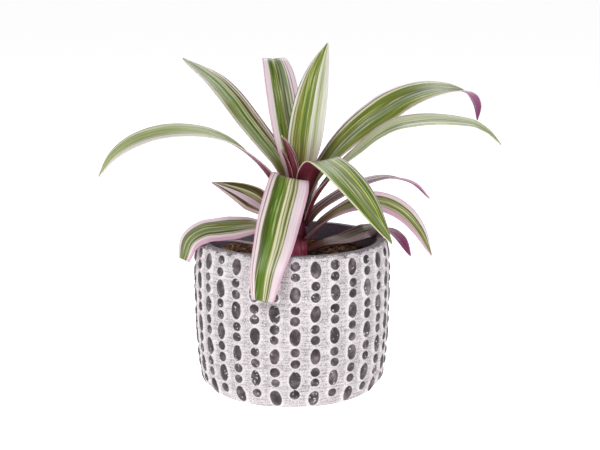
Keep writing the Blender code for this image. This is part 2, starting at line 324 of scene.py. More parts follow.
def bead_field(angles, rows, beads):
    """Ellipse distance to the nearest bead (1 at its edge) and that bead's seed, per point."""
    distance = np.full((len(rows), len(angles)), NO_BEAD)
    seeds = np.zeros_like(distance)
    outer = (rows[:, 2] > 0.0) & (rows[:, 1] > 0.0)
    for turn, height, half_width, half_height, tilt, seed in beads:
        near = np.where(outer & (np.abs(rows[:, 1] - height) < NO_BEAD * half_height))[0]
        away = (angles - turn + math.pi) % (2.0 * math.pi) - math.pi
        reach = NO_BEAD * half_width / POT_RADIUS
        columns = np.where(np.abs(away) < reach)[0]
        x = away[columns][None, :] * rows[near, 0][:, None]
        z = (rows[near, 1] - height)[:, None] + 0.0 * x
        along = x * math.cos(tilt) + z * math.sin(tilt)
        up = z * math.cos(tilt) - x * math.sin(tilt)
        here = np.sqrt((along / half_width) ** 2 + (up / half_height) ** 2)
        window = np.ix_(near, columns)
        closer = here < distance[window]
        distance[window] = np.where(closer, here, distance[window])
        seeds[window] = np.where(closer, seed, seeds[window])
    return distance, seeds


def lime_washed_cement(settings):
    """Charcoal pigmented cement, cast with its beads, brushed with lime wash and wiped.

    The eye gets a chalky off-white ground with level brush marks and pits, dark matt beads
    with worn edges and a few flecks of wash, and a bare dark rim.
    """
    made, tree, shader = new_material("lime_washed_cast_cement")
    cast = add_node(tree, "Attribute", attribute_name="cast")
    parts = add_node(tree, "SeparateXYZ", {0: cast.outputs["Vector"]})
    place = add_node(tree, "TexCoord").outputs["Object"]
    # Sand grains are about 0.2 mm across, and are drawn four times as coarse so that they show
    grit = add_node(tree, "TexNoise", {"Vector": place, "Scale": per(0.8), "Detail": 3.0,
                                       "Roughness": 0.7})
    blot = add_node(tree, "TexNoise", {"Vector": place, "Scale": per(5.9), "Detail": 5.0})
    # The brush's hairs leave lines 0.8 mm apart that run on for a centimetre or two
    level = add_node(tree, "VectorMath", {0: place, 1: (per(14.3), per(14.3), per(0.77))},
                     operation="MULTIPLY")
    brush = add_node(tree, "TexNoise", {"Vector": level.outputs[0], "Scale": 1.0, "Detail": 4.0})
    # The wash ends in a wandering line round each bead, where it was wiped off
    wander = add_node(tree, "Math", {0: blot.outputs["Fac"], 1: 0.5}, operation="SUBTRACT")
    edge = add_node(tree, "Math", {0: wander.outputs[0], 1: 0.35, 2: parts.outputs["X"]},
                    operation="MULTIPLY_ADD")
    off_bead = add_node(tree, "MapRange", {"Value": edge.outputs[0], "From Min": 0.93,
                                           "From Max": 1.06}, interpolation_type="SMOOTHSTEP")
    below = add_node(tree, "Math", {0: wander.outputs[0], 1: 10.0 * MM, 2: parts.outputs["Z"]},
                     operation="MULTIPLY_ADD")
    off_rim = add_node(tree, "MapRange", {"Value": below.outputs[0], "From Min": 0.6 * MM,
                                          "From Max": 2.0 * MM}, interpolation_type="SMOOTHSTEP")
    washed = add_node(tree, "Math", {0: off_bead.outputs[0], 1: off_rim.outputs[0]},
                      operation="MULTIPLY")
    fleck = add_node(tree, "TexNoise", {"Vector": place, "Scale": per(1.92), "Detail": 2.0})
    more = add_node(tree, "Math", {0: parts.outputs["Y"], 1: 0.10, 2: fleck.outputs["Fac"]},
                    operation="MULTIPLY_ADD")
    flecks = add_node(tree, "MapRange", {"Value": more.outputs[0], "From Min": 0.70,
                                         "From Max": 0.75, "To Max": 0.75})
    cover = add_node(tree, "Math", {0: washed.outputs[0], 1: flecks.outputs[0]}, operation="MAXIMUM")
    # Wash gathers white round the beads' feet and thins out between the columns
    halo = add_node(tree, "MapRange", {"Value": parts.outputs["X"], "From Min": 1.0,
                                       "From Max": 1.6, "To Min": 0.13, "To Max": 0.0})
    marks = add_node(tree, "Mix", {0: 0.66, 2: brush.outputs["Fac"], 3: grit.outputs["Fac"]})
    tone = add_node(tree, "Math", {0: marks.outputs[0], 1: halo.outputs[0]}, operation="ADD")
    wash = add_node(tree, "ValToRGB", {"Fac": tone.outputs[0]})
    pale = (*settings.wash, 1.0)
    set_ramp(wash.color_ramp, ((0.36, linear("6a6366")), (0.43, linear("a59ea1")),
                               (0.49, linear("c9c2c5")), (0.55, pale), (0.64, linear("f1ebee"))))
    bare = add_node(tree, "ValToRGB", {"Fac": blot.outputs["Fac"]})
    dark = (*settings.cement, 1.0)
    set_ramp(bare.color_ramp, ((0.32, linear("2c2428")), (0.48, dark), (0.60, linear("685c62")),
                               (0.72, linear("8f848a"))))
    rim = add_node(tree, "ValToRGB", {"Fac": grit.outputs["Fac"]})
    set_ramp(rim.color_ramp, ((0.34, linear("544f52")), (0.50, linear("827b80")),
                              (0.64, linear("b3adb0"))))
    rubbed = add_node(tree, "MapRange", {"Value": parts.outputs["Z"], "From Min": 1.2 * MM,
                                         "From Max": 2.2 * MM})
    # Painted light: the inner wall and floor lie in shade, and are coloured a paler blue grey than the
    # rim to stand in for the light that reaches them
    inside = add_node(tree, "MapRange", {"Value": parts.outputs["Z"], "From Min": -6.0 * MM,
                                         "From Max": -9.0 * MM})
    inner_painted_light = add_node(tree, "Mix", {0: inside.outputs[0], 6: rim.outputs["Color"],
                                     7: linear("9fa0ad")}, data_type="RGBA")
    uncoated = add_node(tree, "Mix", {0: rubbed.outputs[0], 6: inner_painted_light.outputs[2],
                                      7: bare.outputs["Color"]}, data_type="RGBA")
    colour = add_node(tree, "Mix", {0: cover.outputs[0], 6: uncoated.outputs[2],
                                    7: wash.outputs["Color"]}, data_type="RGBA")
    tree.links.new(colour.outputs[2], shader.inputs["Base Color"])
    rough = add_node(tree, "MapRange", {"Value": cover.outputs[0], "To Min": 0.48, "To Max": 0.92})
    tree.links.new(rough.outputs[0], shader.inputs["Roughness"])
    relief = add_node(tree, "Math", {0: brush.outputs["Fac"], 1: grit.outputs["Fac"]},
                      operation="ADD")
    bump = add_node(tree, "Bump", {"Height": relief.outputs[0], "Strength": 0.8,
                                   "Distance": 0.5 * MM})
    tree.links.new(bump.outputs[0], shader.inputs["Normal"])
    shader.inputs["Specular IOR Level"].default_value = 0.35
    return made


class BOATLILY_OT_pot(bpy.types.Operator):
    """Cast the cement pot with its columns of raised ovals and dots"""
    bl_idname = "boatlily.pot"
    bl_label = "Cement pot"

    def execute(self, context):
        settings = context.scene.boatlily_pot
        dice = random.Random(11)
        rows = pot_rows()
        angles = np.arange(POT_AROUND) * 2.0 * math.pi / POT_AROUND
        distance, seeds = bead_field(angles, rows, bead_list(settings.bead_columns, dice))
        dome = np.clip(1.0 - (distance / BEAD_FLANK) ** 2, 0.0, 1.0) ** BEAD_ROUNDNESS
        outer = (rows[:, 2] > 0.0) & (rows[:, 1] > 0.0)
        radius = rows[:, 0][:, None] + 0.0 * distance
        x, y = np.cos(angles)[None, :] * radius, np.sin(angles)[None, :] * radius
        height = rows[:, 1][:, None] + 0.0 * distance
        uneven = wave_noise(x * WAVES[0], y * WAVES[0], height * WAVES[1], 3.0) * UNEVEN
        lift = settings.bead_height * dome + uneven - WALL_SET_BACK
        off_axis = (rows[:, 0] > 0.0)[:, None]
        radius = radius + np.where(outer[:, None], lift, uneven * UNEVEN_INSIDE) * off_axis
        on_rim = (rows[:, 2] <= 0.0) & (rows[:, 1] == POT_HEIGHT)
        height = height - np.where(on_rim[:, None], np.abs(uneven), 0.0)
        rings = np.stack((np.cos(angles)[None, :] * radius, np.sin(angles)[None, :] * radius, height),
                         axis=-1)
        mesh = tube_mesh("cast_pot", rings)
        mesh.flip_normals()
        below = np.broadcast_to(rows[:, 2][:, None], distance.shape)
        store(mesh, "cast", ring_values(np.stack((distance, seeds, below), axis=-1)))
        mesh.materials.append(lime_washed_cement(settings))
        add_piece("cast_pot", mesh, "lime_washed_cement", "cement_pot")
        return {"FINISHED"}


# The compost

COMPOST_LOW, COMPOST_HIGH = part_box("potting_compost")
COMPOST_RADIUS = COMPOST_HIGH.x
COMPOST_TOP = COMPOST_HIGH.z - 1.4 * MM
STEM_LOW, STEM_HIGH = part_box("plant_stem")
STEM_X = (STEM_LOW.x + STEM_HIGH.x) / 2.0
STEM_CLEAR = 7.0 * MM
BED_AROUND, BED_ROWS = 180, 46
BED_SHOULDER, BED_FOOT = 13.0 * MM, 30.0 * MM  # where the side turns, from the top and the floor
BED_FLOOR = 0.82  # of the bed's radius
HILLS, CRUMBS, TONE_PATCHES = 60.0, 420.0, 300.0  # per metre
HILL_HEIGHT, CRUMB_HEIGHT = 0.9 * MM, 0.7 * MM
# Ranges: lengths as shares of the longest, and a chip's width and depth as shares of its length
CHIP_LENGTHS, CHIP_WIDTHS, CHIP_DEPTHS = (0.16, 1.0), (0.35, 0.75), (0.15, 0.35)
FIBRE_LENGTHS, FIBRE_WIDTHS, FIBRE_DEPTHS = (0.4, 1.0), (0.4 * MM, 0.9 * MM), (0.3 * MM, 0.6 * MM)
# Tones run from 0, the darkest peat, to 1, the palest torn bark
CHIP_TONES, FIBRE_TONES = (0.0, 0.7), (0.45, 0.95)
BED_TONE, BED_TONE_RANGE = 0.28, 0.25
CHIP_TIP, CHIP_ROLL, CHIP_SPIN = 0.5, 0.4, 6.3  # the most that a chip leans or turns, in radians
CHIP_BEND, CHIP_ROUGH = 0.25, 0.3  # as shares of a chip's half length and of its size
CHIP_LIFT = 0.3 * MM
CRUMB_FLAT = 0.4  # a crumb's round ends are cut off at this share of its size


def bark_compost():
    """Composted bark and dark peat, moist and matt, with rusty fibres and paler torn bark."""
    made, tree, shader = new_material("bark_and_peat_compost")
    grain = add_node(tree, "Attribute", attribute_name="grain")
    tone = add_node(tree, "SeparateXYZ", {0: grain.outputs["Vector"]})
    place = add_node(tree, "TexCoord").outputs["Object"]
    crumb = add_node(tree, "TexNoise", {"Vector": place, "Scale": per(1.43), "Detail": 5.0})
    shade = add_node(tree, "Math", {0: crumb.outputs["Fac"], 1: 0.45, 2: tone.outputs["X"]},
                     operation="MULTIPLY_ADD")
    colour = add_node(tree, "ValToRGB", {"Fac": shade.outputs[0]})
    set_ramp(colour.color_ramp, ((0.22, linear("24170e")), (0.48, linear("4a3120")),
                                 (0.72, linear("7d5430")), (0.95, linear("b88d58"))))
    tree.links.new(colour.outputs["Color"], shader.inputs["Base Color"])
    bump = add_node(tree, "Bump", {"Height": crumb.outputs["Fac"], "Strength": 0.7,
                                   "Distance": 0.6 * MM})
    tree.links.new(bump.outputs[0], shader.inputs["Normal"])
    shader.inputs["Roughness"].default_value = 0.88
    return made


def compost_height(x, y):
    """The compost's height at arrays of places: low hills with crumbs on them."""
    hills = wave_noise(x * HILLS, y * HILLS, 0.0 * x, 7.0) * HILL_HEIGHT
    crumbs = wave_noise(x * CRUMBS, y * CRUMBS, 0.0 * x, 2.0) * CRUMB_HEIGHT
    return COMPOST_TOP + hills + crumbs


def rounded_crumb():
    """Points and faces of one crumb, one unit across."""
    ball = bmesh.new()
    bmesh.ops.create_icosphere(ball, subdivisions=2, radius=0.5)
    points = np.array([vert.co for vert in ball.verts])
    faces = np.array([[vert.index for vert in face.verts] for face in ball.faces])
    ball.free()
    return points, faces


class BOATLILY_OT_compost(bpy.types.Operator):
    """Fill the pot with compost and scatter chips of bark over it"""
    bl_idname = "boatlily.compost"
    bl_label = "Compost"

    def execute(self, context):
        settings = context.scene.boatlily_compost
        look = bark_compost()
        angles = np.arange(BED_AROUND) * 2.0 * math.pi / BED_AROUND
        surface = np.linspace(1.5 * MM, COMPOST_RADIUS, BED_ROWS)
        radii = np.concatenate(([0.0], surface, COMPOST_RADIUS * np.array((1.0, 1.0, BED_FLOOR, 0.0))))
        x, y = radii[:, None] * np.cos(angles), radii[:, None] * np.sin(angles)
        height = compost_height(x, y)
        height[0] = height[0, 0]
        height[-4], height[-3] = COMPOST_HIGH.z - BED_SHOULDER, COMPOST_LOW.z + BED_FOOT
        height[-2:] = COMPOST_LOW.z
        mesh = tube_mesh("compost_bed", np.stack((x, y, height), axis=-1))
        patches = wave_noise(x * TONE_PATCHES, y * TONE_PATCHES, 0.0 * x, 5.0)
        tone = np.clip(BED_TONE + BED_TONE_RANGE * patches, 0.0, 1.0)
        store(mesh, "grain", ring_values(np.stack((tone, tone, tone), axis=-1)))
        mesh.materials.append(look)
        add_piece("compost_bed", mesh, "bark_compost", "potting_compost")

        crumb, crumb_faces = rounded_crumb()
        dice = random.Random(5)
        points, faces, tones = [], [], []
        for index in range(settings.chips + settings.fibres):
            size = settings.chip_length * dice.uniform(*CHIP_LENGTHS) ** 1.5
            shape = (size, size * dice.uniform(*CHIP_WIDTHS), size * dice.uniform(*CHIP_DEPTHS))
            tone = dice.uniform(*CHIP_TONES)
            if index >= settings.chips:
                size = settings.fibre_length * dice.uniform(*FIBRE_LENGTHS)
                shape = (size, dice.uniform(*FIBRE_WIDTHS), dice.uniform(*FIBRE_DEPTHS))
                tone = dice.uniform(*FIBRE_TONES)
            reach = (COMPOST_RADIUS - size * 0.5) * math.sqrt(dice.random())
            turn = dice.uniform(0.0, 2.0 * math.pi)
            x, y = reach * math.cos(turn), reach * math.sin(turn)
            spin = Euler((dice.uniform(-CHIP_TIP, CHIP_TIP), dice.uniform(-CHIP_ROLL, CHIP_ROLL),
                          dice.uniform(0.0, CHIP_SPIN)))
            bend = dice.uniform(-CHIP_BEND, CHIP_BEND)
            if math.hypot(x - STEM_X, y) < STEM_CLEAR + size / 2.0:
                continue
            ground = float(compost_height(np.array([x]), np.array([y]))[0])
            spot = Vector((x, y, ground + CHIP_LIFT))
            placed = np.array(Matrix.LocRotScale(spot, spin, Vector(shape)))
            local = np.clip(crumb, -CRUMB_FLAT, CRUMB_FLAT) * 0.5 / CRUMB_FLAT
            local *= (1.0 + CHIP_ROUGH * wave_noise(*(crumb * 3.0).T, 9.0 * tone + index))[:, None]
            bow = local[:, 0] ** 2 * 4.0 - 0.5
            local[:, 1] += bend * bow * size / shape[1] * 0.5
            faces.append(crumb_faces + len(points) * len(crumb))
            points.append(local @ placed[:3, :3].T + placed[:3, 3])
            tones.append(np.full((len(crumb), 3), tone))
        mesh = bpy.data.meshes.new("bark_chips")
        mesh.from_pydata(np.concatenate(points).tolist(), [], np.concatenate(faces).tolist())
        store(mesh, "grain", np.concatenate(tones))
        mesh.materials.append(look)
        add_piece("bark_chips", mesh, "bark_compost")
        return {"FINISHED"}


# The plant

class Leaf(NamedTuple):
    """One leaf: where its midrib runs, how its blade lies about it, in mm and degrees, and its
    stripes from the blade's right edge to its left, as (share of the width, tone)."""
    name: str
    heading: float
    foot: float
    path: tuple
    half_width: float
    base_half_width: float
    stripes: tuple
    widest: float = 0.4
    taper: float = 2.0
    tip_half_width: float = 0.5
    clasp: float = 45.0
    cup: float = 12.0
    roll: tuple = (0.0, 0.0, 0.0)


TONES = {
    "pink": "dcb4c6", "blush": "e8d6dc", "milk": "dedecd", "cream": "d8d8b2", "yellow": "bcc35f",
    "mist": "c4c8a6", "pale": "a5b07a", "sage": "8f9d55", "steel": "7d8a66", "green": "738434",
    "deep": "4c6120", "olive": "7c8232", "moss": "5a5d2e", "bronze": "8a8152", "brown": "756550",
    "umber": "3f3024", "rose": "8f5a66", "leaf": "628028", "lime": "a5aa3c",
}
PINK_EDGED = ((0, "pink"), (.12, "brown"), (.15, "blush"), (.22, "olive"), (.36, "sage"),
              (.55, "green"), (.70, "cream"), (.74, "olive"), (.80, "brown"), (.83, "pink"))

LEAVES = (
    Leaf("lower_right", 16, 90, ((20, 0, 94), (34, 0, 97), (48, 0, 101), (60, 0, 103.5),
                                 (71, 0, 96.5), (79.8, 0, 83)), 10.5, 6.0,
         ((0, "umber"), (.14, "rose"), (.46, "brown"), (.54, "umber"), (.60, "moss"), (.72, "umber"),
          (.78, "steel"), (.84, "umber"), (.94, "rose")), roll=(0, 15, -45)),
    Leaf("inner_left", 178, 91, ((18, 0, 93), (30, 0, 95), (42, 0, 97), (52, 0, 97)), 5.0, 4.0,
         ((0, "blush"), (.16, "umber"), (.30, "blush"), (.42, "moss"), (.62, "rose"), (.80, "umber"),
          (.90, "pink"))),
    Leaf("back_low", 94, 94, ((18, 0, 101), (34, 0, 107), (52, 0, 109), (68, 0, 105), (80, 0, 96)),
         8.5, 4.0, PINK_EDGED),
    Leaf("lower_left", 196, 97, ((16, 0, 105.4), (29, 0, 108.6), (43, 0, 108.3), (54, 0, 107.7),
                                 (63.5, 0, 106.8), (71.6, 0, 102.4), (77, 0, 89.3)), 10.8, 6.0,
         ((0, "blush"), (.13, "bronze"), (.16, "steel"), (.26, "olive"), (.34, "steel"), (.44, "sage"),
          (.50, "steel"), (.58, "moss"), (.64, "mist"), (.68, "bronze"), (.71, "blush"),
          (.84, "pink")), taper=3.0, tip_half_width=5.0, roll=(0, -35, -35)),
    Leaf("right_mid", -8, 99, ((13, 0, 106.6), (24, 0, 116.2), (37, 0, 123), (51, 0, 125.4),
                               (61, 0, 123.2), (70.4, 0, 117.8), (79.2, 0, 108.2),
                               (88.6, 0, 90.5)), 10.0, 7.5,
         ((0, "pink"), (.24, "bronze"), (.28, "cream"), (.32, "olive"), (.40, "steel"), (.49, "olive"),
          (.56, "cream"), (.60, "sage"), (.72, "umber"), (.78, "cream"), (.82, "blush"),
          (.95, "pink")), widest=0.5, roll=(8, 28, 40)),
    Leaf("back_left", 104, 103, ((14, 0, 112), (28, 0, 119), (44, 0, 122), (60, 0, 120),
                                 (76, 0, 113), (88, 0, 103)), 8.5, 4.0, PINK_EDGED),
    Leaf("right_thin", 28, 107, ((13, 0, 115), (24, 0, 122.5), (38, 0, 129), (54, 0, 133.7),
                                 (72, 0, 135), (90, 0, 129.5), (103.5, 0, 118)), 8.6, 6.0,
         ((0, "pink"), (.18, "brown"), (.28, "rose"), (.40, "steel"), (.60, "blush"), (.70, "umber"),
          (.80, "blush")), widest=0.5),
    Leaf("left_short", 165, 106, ((14, 0, 112.8), (25, 0, 120.2), (33, 0, 125), (42, 0, 129),
                                  (51, 0, 132), (60, 0, 134.5)), 11.4, 5.5,
         ((0, "cream"), (.05, "moss"), (.28, "cream"), (.36, "sage"), (.42, "umber"), (.47, "blush"),
          (.72, "umber"), (.84, "bronze"), (.88, "cream"), (.94, "pink")), roll=(0, -35, -20)),
    Leaf("back_right", 84, 110, ((14, 0, 118), (28, 0, 125), (44, 0, 128), (60, 0, 126),
                                 (76, 0, 119), (90, 0, 108)), 9.0, 4.0, PINK_EDGED),
    Leaf("right_second", -6, 112, ((11, 0, 125), (19, 0, 137.5), (30, 0, 150), (41, 0, 159.5),
                                   (52, 0, 169), (64, 0, 175.5), (77, 0, 178.3), (102, 0, 179),
                                   (115, 0, 177), (124, 0, 172), (132, 0, 164)), 11.3, 5.3,
         ((0, "mist"), (.05, "steel"), (.12, "pale"), (.16, "mist"), (.30, "moss"), (.33, "steel"),
          (.50, "pale"), (.56, "mist"), (.62, "pale"), (.68, "mist"), (.76, "pale"), (.80, "mist"),
          (.92, "bronze"), (.96, "blush")), roll=(0, 15, 24)),
    Leaf("left_arch", 187, 113, ((10, 0, 127), (16, 0, 137.5), (25, 0, 149), (36, 0, 159),
                                   (47, 0, 166), (58, 0, 170), (71, 0, 171.9), (82, 0, 171.9),
                                   (96, 0, 169.7), (109, 0, 164.7), (121, 0, 156), (130, 0, 143.5)),
         10.6, 3.6,
         ((0, "brown"), (.03, "mist"), (.16, "steel"), (.20, "pale"), (.34, "sage"), (.38, "pale"),
          (.60, "steel"), (.64, "mist"), (.74, "bronze"), (.77, "milk"), (.88, "blush"),
          (.97, "milk")), taper=3.2, clasp=24.0, roll=(22, -12, -36)),
    Leaf("front_fold", -103, 117.5, ((10, 0, 131), (16, 0, 141), (22, 0, 143), (31, 0, 136.5),
                                   (46, -1.2, 121), (60, -1.8, 106), (70, -4, 90), (73, -5.5, 74)),
         14.0, 3.6,
         ((0, "pink"), (.035, "blush"), (.075, "brown"), (.09, "blush"), (.155, "bronze"),
          (.175, "moss"), (.20, "deep"), (.28, "leaf"), (.43, "olive"), (.47, "sage"),
          (.50, "cream"), (.55, "bronze"),
          (.57, "cream"), (.61, "olive"), (.635, "moss"), (.67, "cream"), (.71, "brown"),
          (.725, "mist"), (.75, "blush"), (.93, "pink")), taper=2.6, tip_half_width=7.2,
         roll=(-14, -10, 0)),
    Leaf("right_upper", 28, 118, ((11, 0, 134), (24, 0, 151), (35, 0, 161.6), (48, 0, 171.2),
                                  (63, 0, 180), (78, 0, 187.4), (95, 0, 192.4), (113, 0, 194),
                                  (127, 0, 192.5), (136.5, 0, 188.5), (141.5, 0, 181),
                                  (142.5, 0, 170.5)),
         12.2, 5.5,
         ((0, "blush"), (.03, "bronze"), (.05, "mist"), (.08, "olive"), (.20, "sage"), (.24, "green"),
          (.34, "sage"), (.38, "steel"), (.46, "pale"), (.49, "steel"), (.58, "olive"), (.66, "sage"),
          (.70, "green"), (.84, "sage"), (.87, "cream"), (.92, "umber"), (.95, "blush")), taper=5.0,
         roll=(0, 34, -4)),
    Leaf("front_right", -50, 123, ((9.4, 0, 136), (14.4, 0, 146.6), (23, 0, 153.7), (35.8, 0, 150.8),
                                   (49.6, 0, 143.2), (64.8, 0, 132.3), (77.4, 0, 121.3), (90, 0, 110)),
         13.4, 5.5,
         ((0, "cream"), (.06, "green"), (.14, "leaf"), (.26, "yellow"), (.30, "moss"),
          (.33, "sage"), (.40, "steel"), (.49, "sage"), (.56, "steel"), (.62, "green"), (.67, "olive"),
          (.70, "yellow"), (.75, "green"), (.80, "mist"), (.83, "leaf"), (.91, "cream"),
          (.95, "moss"), (.98, "blush")), roll=(0, 2, 10)),
    Leaf("upper_left", 142, 122, ((10, 0, 139), (16, 0, 149), (23, 0, 156), (31, 0, 163),
                                  (44, 0, 175), (59, 0, 189.5), (75, 0, 201.5), (89, 0, 208.4),
                                  (101, 0, 213.7)), 13.2, 5.5,
         ((0, "brown"), (.05, "blush"), (.10, "bronze"), (.15, "cream"), (.18, "moss"), (.27, "cream"),
          (.30, "bronze"), (.34, "pale"), (.40, "leaf"), (.54, "pale"), (.58, "olive"), (.64, "leaf"),
          (.74, "pale"), (.78, "olive"), (.86, "pale"), (.90, "mist"), (.96, "moss"),
          (.985, "blush")), widest=0.5, taper=2.8),
    Leaf("back_middle", 105, 127, ((10.5, 0, 145), (20, 0, 162), (32, 0, 179), (44, 0, 196),
                                   (54, 0, 207), (64, 0, 213), (76, -1, 211), (88, -3, 203)),
         11.6, 4.5,
         ((0, "pink"), (.04, "blush"), (.15, "brown"), (.17, "blush"), (.22, "brown"), (.25, "mist"),
          (.30, "steel"), (.40, "moss"), (.44, "steel"), (.50, "moss"), (.55, "pale"), (.58, "green"),
          (.68, "deep"), (.74, "green"), (.79, "mist"), (.82, "blush"), (.96, "pink")),
         taper=3.0, cup=8.0),
    Leaf("centre_upright", 60, 130.5, ((7, 0, 147), (12, 1, 166), (20, 1.5, 188), (29.5, 2, 207),
                                       (42, 1.2, 226)), 13.5, 4.0,
         ((0, "blush"), (.02, "milk"), (.16, "mist"), (.24, "sage"), (.27, "mist"), (.32, "milk"),
          (.41, "sage"), (.46, "lime"), (.50, "green"), (.58, "leaf"), (.64, "lime"),
          (.68, "sage"), (.71, "olive"), (.82, "lime"), (.86, "mist"), (.89, "brown"), (.92, "milk"),
          (.97, "brown")), widest=0.38, taper=2.3),
)
SPEARS = (
    Leaf("short", 172, 131, ((5.4, 0, 142), (8, 0, 152), (11, 0, 159)), 4.0, 3.0,
         ((0, "pink"), (.06, "rose"), (.94, "pink")), clasp=60.0, cup=80.0),
    Leaf("tall", 165, 133.5, ((2.9, 0, 141), (5.5, 0, 152), (11, 0, 168)), 6.0, 4.5,
         ((0, "pink"), (.06, "rose"), (.94, "pink")), clasp=120.0, cup=120.0),
)
LEAF_GAP = 0.6 * MM
TIGHTEST_FOLD = 1.3
HALF_THICK = 0.55 * MM  # of a blade at its foot
FULLNESS = 0.72  # under 1, a blade broadens early above its foot
RIPPLES = 38.0  # per metre along the margin
SWELLS = (60.0, 130.0)  # per metre along the blade and across it
SWELL_SHARE = 0.3  # of the ripple's height
RIPPLE_START, RIPPLE_RUN = 0.12, 0.3  # of the length, where the margin starts to wave
MIDRIB_WIDTH, MIDRIB_DEPTH = 1.1 * MM, 0.32 * MM
NARROW = 6.0  # half width in mm under which the midrib's groove gets shallower
PLEAT_DEPTH, PLEATS = 0.05 * MM, 2.4  # fine ridges over the veins, in radians per mm
THIN_MARGIN = 0.55  # how much thinner a blade is at its margin
LEAF_STATIONS = 96
LEAF_STRIPS = 28
CLASP_SHARE = 0.3  # of the length, over which a clasping foot opens into the blade
ROLL_START = 0.12  # of the length, where the first of the three rolls is reached
BOX_SLACK = 3.0 * MM


def stem_radius(height):
    """The stem's radius at a height: it tapers from the compost to the crown."""
    return np.interp(height, (88.0, 110.0, 132.5, 132.8), (6.5, 5.2, 3.2, 1.6))


def half_widths(leaf, along):
    """Half the blade's width at each share of its length."""
    growth = fade((along / leaf.widest) ** FULLNESS)
    grown = leaf.base_half_width + (leaf.half_width - leaf.base_half_width) * growth
    beyond = np.clip((along - leaf.widest) / (1.0 - leaf.widest), 0.0, 1.0)
    return leaf.tip_half_width + (grown - leaf.tip_half_width) * (1.0 - beyond**leaf.taper)


def blade(leaf, stations, strips, ripple):
    """The blade's middle surface, and for each point (share across, metres along, metres across)."""
    heading = math.radians(leaf.heading)
    out = np.array((math.cos(heading), math.sin(heading), 0.0))
    left = np.array((-out[1], out[0], 0.0))
    foot_reach = stem_radius(leaf.foot) + (LEAF_GAP + HALF_THICK) / MM
    reach, drift, height = np.array(((foot_reach, 0.0, leaf.foot), *leaf.path)).T
    points = reach[:, None] * out + drift[:, None] * left + height[:, None] * np.array((0, 0, 1.0))
    centre, tangent = smooth_curve(points, stations)
    side = left - tangent * (tangent @ left)[:, None]
    side /= np.linalg.norm(side, axis=1)[:, None]
    upper = np.cross(tangent, side)
    along = np.linspace(0.0, 1.0, stations)
    roll = np.radians(np.interp(along, (0.0, ROLL_START, 0.5, 1.0), (0.0, *leaf.roll)))[:, None]
    side, upper = side * np.cos(roll) + upper * np.sin(roll), upper * np.cos(roll) - side * np.sin(roll)
    width = half_widths(leaf, along)
    wrap = np.radians(leaf.cup + (leaf.clasp - leaf.cup) * (1.0 - fade(along / CLASP_SHARE)))
    wrap = np.minimum(wrap, width / TIGHTEST_FOLD)
    bend = wrap / width
    across = np.linspace(-1.0, 1.0, strips + 1)
    turn = across[None, :] * wrap[:, None]
    run = np.concatenate(([0.0], np.cumsum(np.linalg.norm(np.diff(centre, axis=0), axis=1)))) * MM
    offset = across[None, :] * width[:, None] * MM
    lift = (1.0 - np.cos(turn)) / bend[:, None] * MM
    far = run[:, None] + 0.0 * offset
    seed = leaf.heading * 0.37 + leaf.foot
    grown = fade((along - RIPPLE_START) / RIPPLE_RUN)[:, None]
    margin = grown * (np.abs(across) ** 2)[None, :] * np.sign(across)
    swell = wave_noise(far * SWELLS[0], offset * SWELLS[1], 0.0 * far, seed + 9.0)
    lift = lift + ripple * margin * wave_noise(far * RIPPLES, np.sign(offset), 0.0 * far, seed)
    lift = lift + SWELL_SHARE * ripple * swell
    groove = np.exp(-((offset / MIDRIB_WIDTH) ** 2)) * fade(along * 5.0)[:, None]
    lift = lift - MIDRIB_DEPTH * groove * np.minimum(1.0, width / NARROW)[:, None]
    pleats = PLEAT_DEPTH * np.sin(across * leaf.half_width * PLEATS)[None, :]
    lift = lift + pleats * np.minimum(1.0, width / leaf.half_width)[:, None]
    sideways = (np.sin(turn) / bend[:, None] * MM)[..., None] * side[:, None, :]
    points = centre[:, None, :] * MM + sideways + lift[..., None] * upper[:, None, :]
    place = np.stack((across[None, :] + 0.0 * offset, far, offset), axis=-1)
    return points + np.array((STEM_X, 0.0, 0.0)), place


def ramp_stops(stripes):
    """Stripes as a ramp's stops: two for a band, one for a line."""
    soft, line = 0.006, 0.045
    ends = [place for place, _ in stripes[1:]] + [1.0]
    stops = []
    for (start, tone), end in zip(stripes, ends):
        places = ((start + end) / 2.0,) if end - start < line else (start + soft, end - soft)
        stops += [(place, linear(TONES[tone])) for place in places]
    return stops


def leaf_coordinates(tree):
    """Shared nodes: the place on the blade, split, and streaks that run along it."""
    place = add_node(tree, "Attribute", attribute_name="blade").outputs["Vector"]
    split = add_node(tree, "SeparateXYZ", {0: place})
    # Veins lie a millimetre apart, with finer ones between, and run the length of the blade
    veins = add_node(tree, "VectorMath", {0: place, 1: (0.0, per(45.5), per(1.0))},
                     operation="MULTIPLY")
    streak = add_node(tree, "TexNoise", {"Vector": veins.outputs[0], "Scale": 1.0, "Detail": 3.0,
                                         "Roughness": 0.6})
    return place, split, streak.outputs["Fac"]


